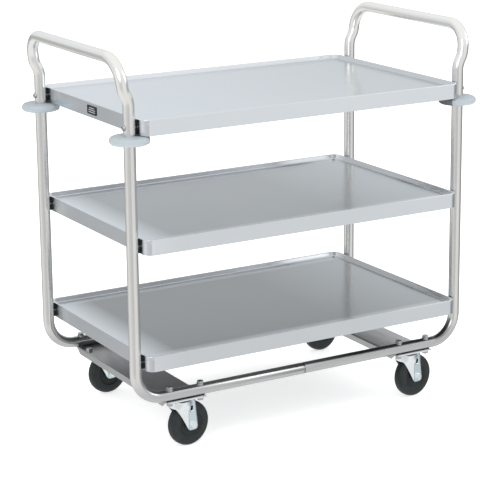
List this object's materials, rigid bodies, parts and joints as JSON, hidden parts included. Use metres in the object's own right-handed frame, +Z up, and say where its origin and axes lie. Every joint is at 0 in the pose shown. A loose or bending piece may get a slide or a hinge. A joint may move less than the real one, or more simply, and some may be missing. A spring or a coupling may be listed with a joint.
{
  "type": "food service trolley",
  "caption": "Stainless food service trolley: stacked rimmed trays between two bent tube end frames with push handles, corner bumpers and swivel casters.",
  "frame": {"origin": "on the floor under the middle of the trolley", "axes": "+Z up, +X to the trolley's right along its length, -Y towards its front"},
  "size_m": [0.9184, 0.529, 0.8787],
  "materials": {
    "tube_steel": "satin polished stainless tube",
    "tray_steel": "bright rolled stainless sheet",
    "channel_steel": "mill finish stainless sheet",
    "black_nylon": "moulded black nylon",
    "grey_rubber": "pale grey non-marking rubber",
    "dark_clamp": "dark moulded clamp",
    "black_wheel": "hard black rubber",
    "bush_steel": "drawn steel",
    "nameplate_enamel": "dark enamel with plain metal border and bars",
    "zinc_pressing": "bright blue-white zinc plate",
    "ball_steel": "polished bearing balls",
    "zinc_fastener": "bright zinc plate"
  },
  "bodies": {
    "trolley_frame": {"bottom_tray": "tray_steel", "bumper_clamp_screws": "zinc_fastener", "caster_bolts": "zinc_fastener", "caster_nuts": "zinc_fastener", "front_left_bumper": "grey_rubber", "front_left_bumper_clamp": "dark_clamp", "front_left_caster_plate": "zinc_pressing", "front_left_kingpin": "zinc_pressing", "front_left_race_balls": "ball_steel", "front_right_bumper": "grey_rubber", "front_right_bumper_clamp": "dark_clamp", "front_right_caster_plate": "zinc_pressing", "front_right_kingpin": "zinc_pressing", "front_right_race_balls": "ball_steel", "left_caster_bolster": "channel_steel", "left_frame_tube": "tube_steel", "leg_inserts": "zinc_fastener", "lower_tray_bolts": "zinc_fastener", "middle_tray": "tray_steel", "nameplate": "nameplate_enamel", "rear_left_bumper": "grey_rubber", "rear_left_bumper_clamp": "dark_clamp", "rear_left_caster_plate": "zinc_pressing", "rear_left_kingpin": "zinc_pressing", "rear_left_race_balls": "ball_steel", "rear_right_bumper": "grey_rubber", "rear_right_bumper_clamp": "dark_clamp", "rear_right_caster_plate": "zinc_pressing", "rear_right_kingpin": "zinc_pressing", "rear_right_race_balls": "ball_steel", "right_caster_bolster": "channel_steel", "right_frame_tube": "tube_steel", "top_tray": "tray_steel", "top_tray_bolts": "zinc_fastener", "top_tray_nuts": "zinc_fastener", "tray_pads": "black_nylon"},
    "front_left_swivel": {"front_left_fork": "zinc_pressing", "front_left_axle_bolt": "zinc_fastener", "front_left_axle_nut": "zinc_fastener"},
    "front_left_roller": {"front_left_wheel": "black_wheel", "front_left_wheel_bushing": "bush_steel"},
    "front_right_swivel": {"front_right_fork": "zinc_pressing", "front_right_axle_bolt": "zinc_fastener", "front_right_axle_nut": "zinc_fastener"},
    "front_right_roller": {"front_right_wheel": "black_wheel", "front_right_wheel_bushing": "bush_steel"},
    "rear_left_swivel": {"rear_left_fork": "zinc_pressing", "rear_left_axle_bolt": "zinc_fastener", "rear_left_axle_nut": "zinc_fastener"},
    "rear_left_roller": {"rear_left_wheel": "black_wheel", "rear_left_wheel_bushing": "bush_steel"},
    "rear_right_swivel": {"rear_right_fork": "zinc_pressing", "rear_right_axle_bolt": "zinc_fastener", "rear_right_axle_nut": "zinc_fastener"},
    "rear_right_roller": {"rear_right_wheel": "black_wheel", "rear_right_wheel_bushing": "bush_steel"}
  },
  "joints": [
    {"name": "front_left_swivel_turn", "type": "hinge", "parent": "trolley_frame", "child": "front_left_swivel", "pos_m": [-0.299, -0.1995, 0.105], "axis": [0, 0, 1], "continuous": true},
    {"name": "front_left_wheel_roll", "type": "hinge", "parent": "front_left_swivel", "child": "front_left_roller", "pos_m": [-0.27922, -0.19654, 0.05], "axis": [-0.1478, 0.989, 0], "continuous": true},
    {"name": "front_right_swivel_turn", "type": "hinge", "parent": "trolley_frame", "child": "front_right_swivel", "pos_m": [0.299, -0.1995, 0.105], "axis": [0, 0, 1], "continuous": true},
    {"name": "front_right_wheel_roll", "type": "hinge", "parent": "front_right_swivel", "child": "front_right_roller", "pos_m": [0.31878, -0.19654, 0.05], "axis": [-0.1478, 0.989, 0], "continuous": true},
    {"name": "rear_left_swivel_turn", "type": "hinge", "parent": "trolley_frame", "child": "rear_left_swivel", "pos_m": [-0.299, 0.1995, 0.105], "axis": [0, 0, 1], "continuous": true},
    {"name": "rear_left_wheel_roll", "type": "hinge", "parent": "rear_left_swivel", "child": "rear_left_roller", "pos_m": [-0.27922, 0.20246, 0.05], "axis": [-0.1478, 0.989, 0], "continuous": true},
    {"name": "rear_right_swivel_turn", "type": "hinge", "parent": "trolley_frame", "child": "rear_right_swivel", "pos_m": [0.299, 0.1995, 0.105], "axis": [0, 0, 1], "continuous": true},
    {"name": "rear_right_wheel_roll", "type": "hinge", "parent": "rear_right_swivel", "child": "rear_right_roller", "pos_m": [0.31878, 0.20246, 0.05], "axis": [-0.1478, 0.989, 0], "continuous": true}
  ]
}
